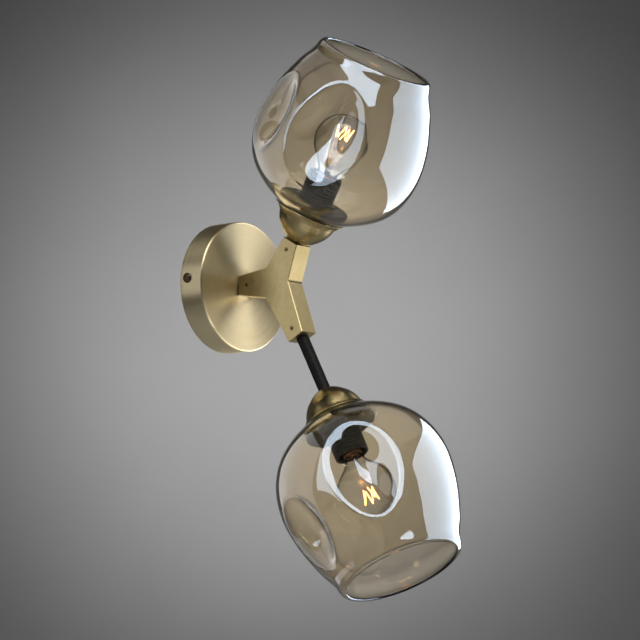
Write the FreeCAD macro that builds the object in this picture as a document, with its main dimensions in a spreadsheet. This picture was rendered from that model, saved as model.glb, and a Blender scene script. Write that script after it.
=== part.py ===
import FreeCAD, Part
import math
import os

# Double arm wall sconce.  Millimetres.  Origin at the centre of the wall
# plate's back, +Y into the wall, -Y out into the room, +Z up.
# A Y-shaped block on a short wall stub carries two glass heads in the plane
# X = 0: one points up and outwards on the short arm, one down and outwards on
# a black rod.  Each head is modelled about its own +Z axis, measured from the
# centre of the Y block, and is turned about X into its arm's direction.

V = FreeCAD.Vector
os.makedirs("parts", exist_ok=True)
doc = FreeCAD.newDocument("wall_sconce")

# ---------------------------------------------------------------- dimensions
DIMS = [
    ("canopy_r", 54.0, "outer radius of the round wall cover"),
    ("canopy_depth", 23.0, "depth of the cover"),
    ("canopy_wall", 1.5, "sheet thickness"),
    ("canopy_edge", 1.6, "radius of the front edge"),
    ("screw_y", 8.0, "side screws, distance from the wall"),
    ("screw_z", 3.0, "side screws, height above centre"),
    ("screw_head_r", 4.15, "M4 pan head"),
    ("screw_head_len", 2.5, ""),
    ("screw_shank_r", 2.0, "M4"),
    ("bar_half", 51.0, "half length of the mounting bar"),
    ("bar_width", 18.0, ""),
    ("bar_thick", 2.0, ""),
    ("tab_width", 14.0, ""),
    ("tab_height", 14.0, ""),
    ("slot_pitch", 60.0, "wall screw slots, centre to centre"),
    ("slot_width", 5.0, ""),
    ("slot_len", 12.0, ""),
    ("yc", 60.5, "Y block centre from the wall"),
    ("y_thick", 18.0, "Y block thickness"),
    ("arm_half", 8.15, "half width of an arm at its end"),
    ("crotch_wall", 14.0, "wall side corners from the centre"),
    ("crotch_front", 16.9, "front corner from the centre"),
    ("arm_wall_len", 36.45, ""),
    ("arm_up_len", 37.6, ""),
    ("arm_low_len", 53.0, ""),
    ("y_edge", 0.45, "broken edge of the block"),
    ("ang_up", 30.6, "upper axis from vertical"),
    ("ang_low", 28.5, "lower axis from vertical"),
    ("tube_r", 5.0, "M10 tube"),
    ("tube_bore_r", 3.5, ""),
    ("run_gap", 0.05, "running clearance on radius"),
    ("grub_r", 2.0, "M4 set screw"),
    ("grub_back", 8.0, "set screw from the arm end"),
    ("pole_up", 37.9, "upper cup pole from the Y centre"),
    ("pole_low", 104.8, "lower cup pole from the Y centre"),
    ("cup_len", 27.0, "cup height"),
    ("cup_rim_r", 30.0, ""),
    ("cup_wall", 1.2, ""),
    ("glass_seat", 25.8, "glass base from the cup pole"),
    ("glass_wall", 2.2, ""),
    ("glass_up_len", 137.8, ""),
    ("glass_low_len", 141.1, ""),
    ("glass_hole_r", 14.75, ""),
    ("skirt_r", 14.3, "lamp holder thread, outside"),
    ("skirt_root_r", 13.75, ""),
    ("skirt_bore_r", 12.6, ""),
    ("mouth", 60.0, "lamp holder mouth from the cup pole"),
    ("ring_r", 30.0, "shade ring"),
    ("ring_len", 6.0, ""),
    ("cap_r", 6.97, "E14 thread crest"),
    ("shell_r", 7.05, "screw shell bore"),
    ("globe_r", 22.5, "round lamp"),
    ("globe_z", 90.2, "globe centre from the cup pole"),
]
sheet = doc.addObject("Spreadsheet::Sheet", "Dims")
P = {}
for i, (alias, value, note) in enumerate(DIMS, start=1):
    sheet.set("A%d" % i, alias)
    sheet.set("B%d" % i, repr(value))
    sheet.set("C%d" % i, note)
    sheet.setAlias("B%d" % i, alias)
    P[alias] = value
doc.recompute()

NODES = {}          # node name -> document object


def val(expr):
    """Value of a sum such as 'pole_up + 1.2' from the sheet's numbers."""
    if not isinstance(expr, str):
        return float(expr)
    total, sign = 0.0, 1.0
    for tok in expr.replace("-", " - ").replace("+", " + ").split():
        if tok == "+":
            sign = 1.0
        elif tok == "-":
            sign = -1.0
        else:
            total += sign * (P[tok] if tok in P else float(tok))
            sign = 1.0
    return total


def bound(expr):
    """The same sum written against the sheet."""
    out = []
    for tok in expr.replace("-", " - ").replace("+", " + ").split():
        out.append("Dims." + tok if tok in P else tok)
    return " ".join(out)


def bind(obj, prop, expr):
    if isinstance(expr, str):
        obj.setExpression(prop, bound(expr))
    else:
        setattr(obj, prop, expr)


def place(obj, pos=(0, 0, 0), axis=(0, 0, 1), angle=0.0):
    obj.Placement = FreeCAD.Placement(V(*pos), FreeCAD.Rotation(V(*axis), angle))
    return obj


def node(name, obj, placement=None):
    obj.Label = name
    if placement is not None:
        obj.Placement = placement
    NODES[name] = obj
    return obj


# Placements of the two heads: local +Z runs out along the arm.
HEAD = {
    "upper": FreeCAD.Placement(V(0, -P["yc"], 0), FreeCAD.Rotation(V(1, 0, 0), P["ang_up"])),
    "lower": FreeCAD.Placement(V(0, -P["yc"], 0), FreeCAD.Rotation(V(1, 0, 0), 180.0 - P["ang_low"])),
}


def cyl(name, r, length, pos=(0, 0, 0), axis=(0, 0, 1), angle=0.0):
    c = doc.addObject("Part::Cylinder", name)
    bind(c, "Radius", r)
    bind(c, "Height", length)
    return place(c, pos, axis, angle)


def box(name, lx, ly, lz, pos):
    b = doc.addObject("Part::Box", name)
    bind(b, "Length", lx)
    bind(b, "Width", ly)
    bind(b, "Height", lz)
    return place(b, pos)


def cut(name, base, tool):
    c = doc.addObject("Part::Cut", name)
    c.Base, c.Tool = base, tool
    return c


def fuse(name, parts):
    f = doc.addObject("Part::MultiFuse", name)
    f.Shapes = parts
    return f


def plane_of(body, role):
    for f in body.Origin.OriginFeatures:
        if f.Role == role:
            return f
    raise ValueError(role)


def sketch_poly(body, name, role, pts):
    """Closed outline; every corner is held by sizes bound to the sheet."""
    sk = body.newObject("Sketcher::SketchObject", name)
    sk.AttachmentSupport = [(plane_of(body, role), "")]
    sk.MapMode = "FlatFace"
    return fill_sketch(sk, pts)


def fill_sketch(sk, pts):
    import Sketcher
    xy = [(val(a), val(b)) for a, b in pts]
    n = len(xy)
    for i in range(n):
        a, b = xy[i], xy[(i + 1) % n]
        sk.addGeometry(Part.LineSegment(V(a[0], a[1], 0), V(b[0], b[1], 0)), False)
    for i in range(n):
        sk.addConstraint(Sketcher.Constraint("Coincident", i, 2, (i + 1) % n, 1))
    for i, (ea, eb) in enumerate(pts):
        for kind, expr, v in (("DistanceX", ea, xy[i][0]), ("DistanceY", eb, xy[i][1])):
            if abs(v) < 1e-9:
                # PointOnObject to the axis the corner lies on
                sk.addConstraint(Sketcher.Constraint("PointOnObject", i, 1, -2 if kind == "DistanceX" else -1))
                continue
            k = sk.addConstraint(Sketcher.Constraint(kind, -1, 1, i, 1, v))
            if isinstance(expr, str):
                sk.setExpression("Constraints[%d]" % k, bound(expr))
    return sk


def turned(name, pts):
    """A turned piece: straight-sided outline (r, z) revolved about Z."""
    body = doc.addObject("PartDesign::Body", name + "_body")
    sk = sketch_poly(body, name + "_outline", "XZ_Plane", pts)
    rev = body.newObject("PartDesign::Revolution", name + "_turn")
    rev.Profile = sk
    rev.ReferenceAxis = (sk, ["V_Axis"])
    rev.Angle = 360.0
    return body


def spun(name, edges):
    """A spun or blown piece: outline with curves, revolved about Z.
    edges: list of point lists (r, z); more than two points is a smooth curve."""
    es = []
    for pts in edges:
        vs = [V(r, 0, z) for r, z in pts]
        if len(vs) == 2:
            es.append(Part.LineSegment(vs[0], vs[1]).toShape())
        else:
            c = Part.BSplineCurve()
            c.interpolate(vs)
            es.append(c.toShape())
    prof = doc.addObject("Part::Feature", name + "_profile")
    prof.Shape = Part.Face(Part.Wire(es))
    rev = doc.addObject("Part::Revolution", name + "_spin")
    rev.Source = prof
    rev.Axis = V(0, 0, 1)
    rev.Base = V(0, 0, 0)
    rev.Angle = 360.0
    rev.Solid = True
    return rev


# ------------------------------------------------------------ wall plate
# Canopy: a shallow round cover, open at the back.
canopy = doc.addObject("PartDesign::Body", "canopy")
sk = sketch_poly(canopy, "canopy_outline", "XZ_Plane", [
    (5.1, "canopy_depth - canopy_wall"), ("canopy_r - canopy_wall", "canopy_depth - canopy_wall"),
    ("canopy_r - canopy_wall", 0), ("canopy_r", 0), ("canopy_r", "canopy_depth"), (5.1, "canopy_depth")])
rev = canopy.newObject("PartDesign::Revolution", "canopy_turn")
rev.Profile = sk
rev.ReferenceAxis = (sk, ["V_Axis"])
rev.Angle = 360.0
doc.recompute()
edge_names = []
for i, e in enumerate(rev.Shape.Edges, start=1):
    bb = e.BoundBox
    if abs(bb.ZMin - P["canopy_depth"]) < 1e-6 and abs(bb.ZMax - P["canopy_depth"]) < 1e-6 \
            and abs(bb.XMax - P["canopy_r"]) < 1e-3:
        edge_names.append("Edge%d" % i)
fil = canopy.newObject("PartDesign::Fillet", "canopy_round")
fil.Base = (rev, edge_names)
fil.setExpression("Radius", "Dims.canopy_edge")
canopy.Placement = FreeCAD.Placement(V(0, 0, 0), FreeCAD.Rotation(V(1, 0, 0), 90))
canopy.Tip = fil
hole = cyl("canopy_screw_holes", 2.2, "canopy_r + canopy_r + 4.0",
           (-P["canopy_r"] - 2, -P["screw_y"], P["screw_z"]), (0, 1, 0), 90)
node("canopy_cover", cut("canopy_cut", canopy, hole))

# Mounting bar: flat strip on the wall with two slots and a bent, tapped ear
# at each end.
bar = doc.addObject("PartDesign::Body", "bar")
sk = sketch_poly(bar, "bar_outline", "XZ_Plane", [
    ("bar_half", 0), ("bar_half", "tab_height"), ("bar_half - bar_thick", "tab_height"),
    ("bar_half - bar_thick", "bar_thick"), ("0 - bar_half + bar_thick", "bar_thick"),
    ("0 - bar_half + bar_thick", "tab_height"), ("0 - bar_half", "tab_height"), ("0 - bar_half", 0)])
pad = bar.newObject("PartDesign::Pad", "bar_pad")
pad.Profile = sk
pad.setExpression("Length", "Dims.tab_width")
pad.Midplane = True
bar.Placement = FreeCAD.Placement(V(0, 0, 0), FreeCAD.Rotation(V(1, 0, 0), 90))
wide = box("bar_wide", "bar_half + bar_half - 14.0", "bar_thick", "bar_width",
           (-(P["bar_half"] - 7.0), -P["bar_thick"], -P["bar_width"] / 2))
tools = []
for sx in (-1, 1):
    x0 = sx * P["slot_pitch"] / 2
    half = (P["slot_len"] - P["slot_width"]) / 2
    tools.append(box("slot_mid", "slot_len - slot_width", 6.0, "slot_width",
                     (x0 - half, -4.0, -P["slot_width"] / 2)))
    for k in (-1, 1):
        tools.append(cyl("slot_end", P["slot_width"] / 2, 6.0, (x0 + k * half, 2.0, 0), (1, 0, 0), 90))
tools.append(cyl("ear_holes", 2.05, "bar_half + bar_half + 4.0",
                 (-P["bar_half"] - 2, -P["screw_y"], P["screw_z"]), (0, 1, 0), 90))
tools.append(cyl("earth_hole", 1.55, 6.0, (16.0, 2.0, 0), (1, 0, 0), 90))
tools.append(cyl("block_hole", 1.3, 6.0, (-14.0, 2.0, 0), (1, 0, 0), 90))
node("mounting_bar", cut("bar_cut", fuse("bar_fuse", [bar, wide]), fuse("bar_tools", tools)))

# Two pan head screws hold the cover to the bar's ears.
scr = []
for sx in (-1, 1):
    ax, ang = ((0, 1, 0), -90) if sx < 0 else ((0, 1, 0), 90)
    x0 = sx * (P["canopy_r"] + 0.02)
    head = spun("pan_head_%s" % ("l" if sx < 0 else "r"), [
        [(0, -1.2), (P["screw_shank_r"], -1.2)], [(P["screw_shank_r"], -1.2), (P["screw_shank_r"], 0.0)],
        [(P["screw_shank_r"], 0.0), (P["screw_head_r"], 0.0)],
        [(P["screw_head_r"], 0.0), (P["screw_head_r"], 0.9)],
        [(P["screw_head_r"], 0.9), (3.7, 1.7), (2.6, 2.25), (1.3, P["screw_head_len"])],
        [(1.3, P["screw_head_len"]), (0, P["screw_head_len"])], [(0, P["screw_head_len"]), (0, -1.2)]])
    place(head, (x0, -P["screw_y"], P["screw_z"]), ax, ang)
    shank = cyl("pan_shank", "screw_shank_r", 9.0, (x0, -P["screw_y"], P["screw_z"]), ax, ang - 180)
    r1 = box("cross_a", 2.4, 0.8, 4.4, (x0 + (-3.0 if sx < 0 else 0.6), -P["screw_y"] - 0.4, P["screw_z"] - 2.2))
    r2 = box("cross_b", 2.4, 4.4, 0.8, (x0 + (-3.0 if sx < 0 else 0.6), -P["screw_y"] - 2.2, P["screw_z"] - 0.4))
    if sx < 0:
        r1.Placement.Base.x = x0 - 3.2
        r2.Placement.Base.x = x0 - 3.2
    scr.append(cut("pan_screw", fuse("pan_fuse", [head, shank]), fuse("pan_cross", [r1, r2])))
node("canopy_screws", doc.addObject("Part::Compound", "canopy_screw_pair"))
NODES["canopy_screws"].Links = scr

# Wall stub: hollow threaded tube with a thin collar outside the cover.
to_room = FreeCAD.Placement(V(0, 0, 0), FreeCAD.Rotation(V(1, 0, 0), 90))
stub = turned("wall_stub", [
    ("tube_bore_r", 13.0), ("tube_r", 13.0), ("tube_r", "canopy_depth"), (7.2, "canopy_depth"),
    (7.2, "canopy_depth + 1.0"), ("tube_r", "canopy_depth + 1.0"), ("tube_r", 46.0), ("tube_bore_r", 46.0)])
node("wall_stub", stub, to_room)
node("stub_washer", turned("stub_washer", [
    ("tube_r + 0.1", "canopy_depth - canopy_wall - 1.0"), (8.5, "canopy_depth - canopy_wall - 1.0"),
    (8.5, "canopy_depth - canopy_wall"), ("tube_r + 0.1", "canopy_depth - canopy_wall")]), to_room)


def hex_nut(name, across, thick, bore, z0, placement):
    prism = doc.addObject("Part::Prism", name + "_prism")
    prism.Polygon = 6
    prism.Circumradius = across / 2 / math.cos(math.pi / 6)
    prism.Height = thick
    place(prism, (0, 0, z0))
    n = cut(name + "_cut", prism, cyl(name + "_bore", bore, thick + 2, (0, 0, z0 - 1)))
    return node(name, n, placement)


hex_nut("stub_nut", 14.0, 4.0, P["tube_r"] + 0.02, P["canopy_depth"] - P["canopy_wall"] - 5.0, to_room)

# Terminal block: three-way, standing on the bar to the left of the stub.
blk = box("block_body", 9.0, 12.0, 17.0, (-31.0 + 12.5, -14.1, -8.5))
holes = []
for k in (-1, 0, 1):
    holes.append(cyl("block_way", 1.6, 20.0, (-24.0, -6.0, k * 5.2), (0, 1, 0), 90))
    holes.append(cyl("block_top", 1.7, 4.7, (-14.0, -16.0, k * 5.2), (1, 0, 0), -90))
node("terminal_block", cut("block_cut", blk, fuse("block_holes", holes)))
pins = [cyl("block_screw", 1.6, 3.0, (-14.0, -11.5, k * 5.2), (1, 0, 0), 90) for k in (-1, 0, 1)]
node("terminal_screws", doc.addObject("Part::Compound", "block_screws"))
NODES["terminal_screws"].Links = pins

# Earth screw in the bar, with its cup washer.
node("earth_screw", turned("earth_screw", [
    (0, 0.2), (1.5, 0.2), (1.5, "bar_thick"), (4.0, "bar_thick"), (4.0, "bar_thick + 0.8"),
    (3.0, "bar_thick + 0.8"), (3.0, "bar_thick + 2.6"), (0, "bar_thick + 2.6")]),
    FreeCAD.Placement(V(16.0, 0, 0), FreeCAD.Rotation(V(1, 0, 0), 90)))

# ------------------------------------------------------------ Y block
def ydir(deg):
    return (math.cos(math.radians(deg)), math.sin(math.radians(deg)))


# In the block's own plane: first axis towards the wall, second axis up.
A_WALL, A_UP, A_LOW = 0.0, 90.0 + P["ang_up"], 270.0 - P["ang_low"]
outline = []
for ang, length, nxt, crotch in (
        (A_WALL, P["arm_wall_len"], A_UP, P["crotch_wall"]),
        (A_UP, P["arm_up_len"], A_LOW, P["crotch_front"]),
        (A_LOW, P["arm_low_len"], A_WALL + 360.0, P["crotch_wall"])):
    c, s = ydir(ang)
    w = P["arm_half"]
    outline.append((c * length + s * w, s * length - c * w))
    outline.append((c * length - s * w, s * length + c * w))
    c, s = ydir((ang + nxt) / 2.0)
    outline.append((c * crotch, s * crotch))

yb = doc.addObject("PartDesign::Body", "y_block")
sk = yb.newObject("Sketcher::SketchObject", "y_outline")
sk.AttachmentSupport = [(plane_of(yb, "YZ_Plane"), "")]
sk.MapMode = "FlatFace"
fill_sketch(sk, outline)
pad = yb.newObject("PartDesign::Pad", "y_pad")
pad.Profile = sk
pad.setExpression("Length", "Dims.y_thick")
pad.Midplane = True
doc.recompute()


def upright_edges(shape, corner, tol=0.05):
    out = []
    for i, e in enumerate(shape.Edges, start=1):
        bb = e.BoundBox
        if bb.XLength > P["y_thick"] - 1 and abs(bb.YMin - corner[0]) < tol and abs(bb.ZMin - corner[1]) < tol:
            out.append("Edge%d" % i)
    return out


yf = yb.newObject("PartDesign::Fillet", "y_inner_round")
yf.Base = (pad, upright_edges(pad.Shape, outline[2]) + upright_edges(pad.Shape, outline[8]))
yf.Radius = 5.0
doc.recompute()
yf2 = yb.newObject("PartDesign::Fillet", "y_front_round")
yf2.Base = (yf, upright_edges(yf.Shape, outline[5]))
yf2.Radius = 3.0
doc.recompute()
rim = []
for i, e in enumerate(yf2.Shape.Edges, start=1):
    if e.BoundBox.XLength < 1e-6:
        rim.append("Edge%d" % i)
yc_ = yb.newObject("PartDesign::Chamfer", "y_broken_edge")
yc_.Base = (yf2, rim)
yc_.setExpression("Size", "Dims.y_edge")
yb.Tip = yc_
yb.Placement = FreeCAD.Placement(V(0, -P["yc"], 0), FreeCAD.Rotation())
doc.recompute()

c0 = (0, -P["yc"], 0)
bores = [
    cyl("bore_wall", "tube_r + run_gap", 24.0, (0, -P["yc"] + P["arm_wall_len"] - 22.6, 0), (1, 0, 0), -90),
    cyl("bore_up", "tube_r + run_gap", 30.0), cyl("bore_low", "tube_r + run_gap", 32.0),
    cyl("way_wall", "tube_bore_r", 30.0, c0, (1, 0, 0), -90),
    cyl("way_up", "tube_bore_r", 30.0), cyl("way_low", "tube_bore_r", 40.0)]
for b, which, s0 in ((bores[1], "upper", 17.5), (bores[2], "lower", 25.0), (bores[4], "upper", 0), (bores[5], "lower", 0)):
    pl = HEAD[which]
    b.Placement = FreeCAD.Placement(pl.multVec(V(0, 0, s0)), pl.Rotation)
GRUBS = []
for ang, length in ((A_WALL, P["arm_wall_len"]), (A_UP, P["arm_up_len"]), (A_LOW, P["arm_low_len"])):
    c, s = ydir(ang)
    d = length - P["grub_back"]
    GRUBS.append((-P["yc"] + c * d, s * d))
for gy, gz in GRUBS:
    bores.append(cyl("grub_hole", "grub_r + 0.05", 6.0, (-P["y_thick"] / 2 - 1.0, gy, gz), (0, 1, 0), 90))
node("y_connector", cut("y_cut", yb, fuse("y_bores", bores)))

# Set screws with a hexagon socket, one in each arm, just short of the tubes.
gs = []
for gy, gz in GRUBS:
    x0 = -P["y_thick"] / 2 + 0.5
    body = cyl("grub_body", "grub_r", -P["tube_r"] - 0.03 - x0, (x0, gy, gz), (0, 1, 0), 90)
    sock = doc.addObject("Part::Prism", "grub_socket")
    sock.Polygon = 6
    sock.Circumradius = 1.15
    sock.Height = 2.0
    place(sock, (x0 - 0.2, gy, gz), (0, 1, 0), 90)
    gs.append(cut("grub", body, sock))
node("arm_grub_screws", doc.addObject("Part::Compound", "grub_set"))
NODES["arm_grub_screws"].Links = gs

# ------------------------------------------------------------ glass shades
# Outer outline (distance from the base, radius), blown and slightly different
# in the two shades, and the pressed dimples: angle about the axis, distance
# from the base, half size along, half size around, depth.
SHADES = {
    "upper": dict(
        prof=[(0.25, 27.2), (1.3, 29.4), (2.9, 32.4), (6.2, 38.6), (12.9, 48.8), (21.8, 58.4), (33.6, 65.6), (47.4, 69.7),
              (61.2, 70.9), (77, 69.3), (92.8, 65.4), (105.6, 60.7), (117.5, 55.4), (128.3, 49.8), (136.2, 45.4)],
        rim=44.6, dents=[(208.5, 73.7, 45.0, 32.0, 19.0), (155.0, 70.2, 36.0, 27.0, 15.0), (72.0, 78.2, 38.0, 28.0, 16.0)]),
    "lower": dict(
        prof=[(0.25, 27.2), (1.3, 29.4), (2.9, 32.2), (6.2, 38.2), (12.9, 48.3), (21.7, 57.7), (33.5, 65.2), (47.2, 69.8),
              (62.9, 71.4), (78.6, 70), (94.2, 66.7), (107, 62.5), (118.7, 57.8), (130.5, 52.8), (139.3, 48.7)],
        rim=47.9, dents=[(142.4, 71.3, 42.0, 29.0, 20.0), (206.0, 92.3, 34.0, 27.0, 16.0), (300.0, 75.3, 38.0, 28.0, 16.0)]),
}


def natural_spline(xs, ys):
    """Natural cubic spline through (xs, ys); returns a function."""
    n = len(xs)
    h = [xs[i + 1] - xs[i] for i in range(n - 1)]
    a = [0.0] * n
    b = [1.0] * n
    c = [0.0] * n
    d = [0.0] * n
    for i in range(1, n - 1):
        a[i], b[i], c[i] = h[i - 1], 2 * (h[i - 1] + h[i]), h[i]
        d[i] = 6 * ((ys[i + 1] - ys[i]) / h[i] - (ys[i] - ys[i - 1]) / h[i - 1])
    for i in range(1, n):
        w = a[i] / b[i - 1]
        b[i] -= w * c[i - 1]
        d[i] -= w * d[i - 1]
    m = [0.0] * n
    m[-1] = d[-1] / b[-1]
    for i in range(n - 2, -1, -1):
        m[i] = (d[i] - c[i] * m[i + 1]) / b[i]

    def f(x):
        k = 0
        while k < n - 2 and x > xs[k + 1]:
            k += 1
        t1, t0 = xs[k + 1] - x, x - xs[k]
        return (m[k] * t1 ** 3 + m[k + 1] * t0 ** 3) / (6 * h[k]) \
            + (ys[k] / h[k] - m[k] * h[k] / 6) * t1 + (ys[k + 1] / h[k] - m[k + 1] * h[k] / 6) * t0
    return f


def shade_rows(which, length, hole, wall, step):
    """Outer mid-line of the wall as (r, z) rows, evenly spaced along the curve."""
    prof = SHADES[which]["prof"]
    pts = [(hole, 0.0), (18.0, 0.0), (22.0, 0.0), (25.0, 0.02)]
    pts += [(r, z) for z, r in prof]
    pts.append((SHADES[which]["rim"], length - 1.6))
    t = [0.0]
    for i in range(1, len(pts)):
        t.append(t[-1] + math.hypot(pts[i][0] - pts[i - 1][0], pts[i][1] - pts[i - 1][1]))
    fr = natural_spline(t, [q[0] for q in pts])
    fz = natural_spline(t, [q[1] for q in pts])
    n = int(round(t[-1] / step))
    return [(fr(t[-1] * i / n), fz(t[-1] * i / n)) for i in range(n + 1)]


def dent(which, theta, r, z):
    total = 0.0
    for ang, z0, half_z, half_t, depth in SHADES[which]["dents"]:
        da = (math.degrees(theta) - ang + 180.0) % 360.0 - 180.0
        q = ((z - z0) / half_z) ** 2 + (math.radians(da) * 68.0 / half_t) ** 2
        if q < 1.0:
            total += depth * (1.0 - q) ** 1.6
    return total


def shade_shape(which, length, hole, wall, z0):
    rows = shade_rows(which, length, hole, wall, 4.2)
    nu = 84
    outer = []
    for r, z in rows:
        ring = []
        for j in range(nu):
            th = 2 * math.pi * j / nu
            rr = r - dent(which, th, r, z)
            ring.append(V(rr * math.cos(th), rr * math.sin(th), z0 + z))
        outer.append(ring)
    nv = len(outer)
    inner = []
    for i in range(nv):
        ring = []
        for j in range(nu):
            du = outer[i][(j + 1) % nu] - outer[i][j - 1]
            dv = outer[min(i + 1, nv - 1)][j] - outer[max(i - 1, 0)][j]
            nrm = dv.cross(du)
            nrm.normalize()
            ring.append(outer[i][j] + nrm * wall)
        inner.append(ring)
    # hole edge rows are kept exact so that the hole is a true short cylinder
    for j in range(nu):
        th = 2 * math.pi * j / nu
        outer[0][j] = V(hole * math.cos(th), hole * math.sin(th), z0)
        inner[0][j] = V(hole * math.cos(th), hole * math.sin(th), z0 + wall)
    lip = []
    k = 7
    for q in range(1, k):
        fi = math.pi * q / k
        ring = []
        for j in range(nu):
            a, b = outer[-1][j], inner[-1][j]
            mid, half = (a + b) * 0.5, (a - b) * 0.5
            along = outer[-1][j] - outer[-2][j]
            along.normalize()
            bulge = 1.0 + 0.35 * math.sin(fi)
            ring.append(mid + half * math.cos(fi) * bulge + along * (wall * 0.72 * math.sin(fi)))
        lip.append(ring)
    rows_all = outer + lip + inner[::-1]

    def surface(rows3, deg_v):
        n_v = len(rows3)
        poles = [[rows3[i][j] for i in range(n_v)] for j in range(nu)]
        uk = [float(i) for i in range(nu + 1)]
        um = [1] * (nu + 1)
        inner_k = n_v - deg_v
        vk = [float(i) for i in range(inner_k + 1)]
        vm = [deg_v + 1] + [1] * (inner_k - 1) + [deg_v + 1]
        s = Part.BSplineSurface()
        s.buildFromPolesMultsKnots(poles, um, vm, uk, vk, True, False, 3, deg_v)
        return s

    s1 = surface(rows_all, 3)
    s2 = surface([rows_all[-1], rows_all[0]], 1)
    f1, f2 = s1.toShape(), s2.toShape()
    shell = Part.Shell([f1, f2])
    shell.sewShape()
    solid = Part.Solid(Part.Shell(shell.Faces))
    if solid.Volume < 0:
        solid.reverse()
    return solid


# ------------------------------------------------------------ heads
def cup(which, pole):
    """Spun bell: flat pole with the tube hole, full shoulder, stepped and flared rim."""
    w = P["cup_wall"]
    k = P["cup_len"] / 25.2
    end = pole + P["cup_len"]
    rim = P["cup_rim_r"]
    out = [(8.0, 0.0), (10.8, 1.5), (14.9, 4.6), (19.0, 8.7), (22.3, 13.8), (23.9, 18.2)]
    inn = [(7.6, w / k), (9.9, 2.6), (13.9, 5.5), (17.8, 9.5), (21.0, 14.2), (22.6, 18.4)]
    out = [(r, z * k + pole) for r, z in out]
    inn = [(r, z * k + pole) for r, z in inn]
    h = P["tube_r"] + 0.03
    z = pole
    at = lambda d: pole + d * k
    return spun(which + "_cup", [
        [(h, z), (8.0, z)], out,
        [(23.9, at(18.2)), (24.3, at(19.6))], [(24.3, at(19.6)), (25.1, at(19.9))], [(25.1, at(19.9)), (25.4, at(20.9))],
        [(25.4, at(20.9)), (26.2, at(21.2))], [(26.2, at(21.2)), (27.0, at(22.5)), (28.4, at(23.9)), (rim - 0.2, end - 0.7)],
        [(rim - 0.2, end - 0.7), (rim, end - 0.35)],
        [(rim, end - 0.35), (rim - 0.4, end)],
        [(rim - 0.4, end), (29.1, end - 0.1)],
        [(29.1, end - 0.1), (27.4, at(23.6)), (25.2, at(21.8)), (24.2, at(21.0))],
        [(24.2, at(21.0)), (22.6, at(18.4))], inn[::-1],
        [(7.6, z + w), (h, z + w)], [(h, z + w), (h, z)]])


def ridged(r_out, r_root, z0, z1, pitch):
    """Outline points of a run of thread crests and roots, from z0 up to z1."""
    pts = []
    n = int((z1 - z0) / pitch)
    p = (z1 - z0) / n
    for i in range(n):
        a = z0 + i * p
        pts += [(r_root, a + 0.04 * p), (r_out, a + 0.3 * p), (r_out, a + 0.6 * p), (r_root, a + 0.86 * p)]
    return pts


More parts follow.
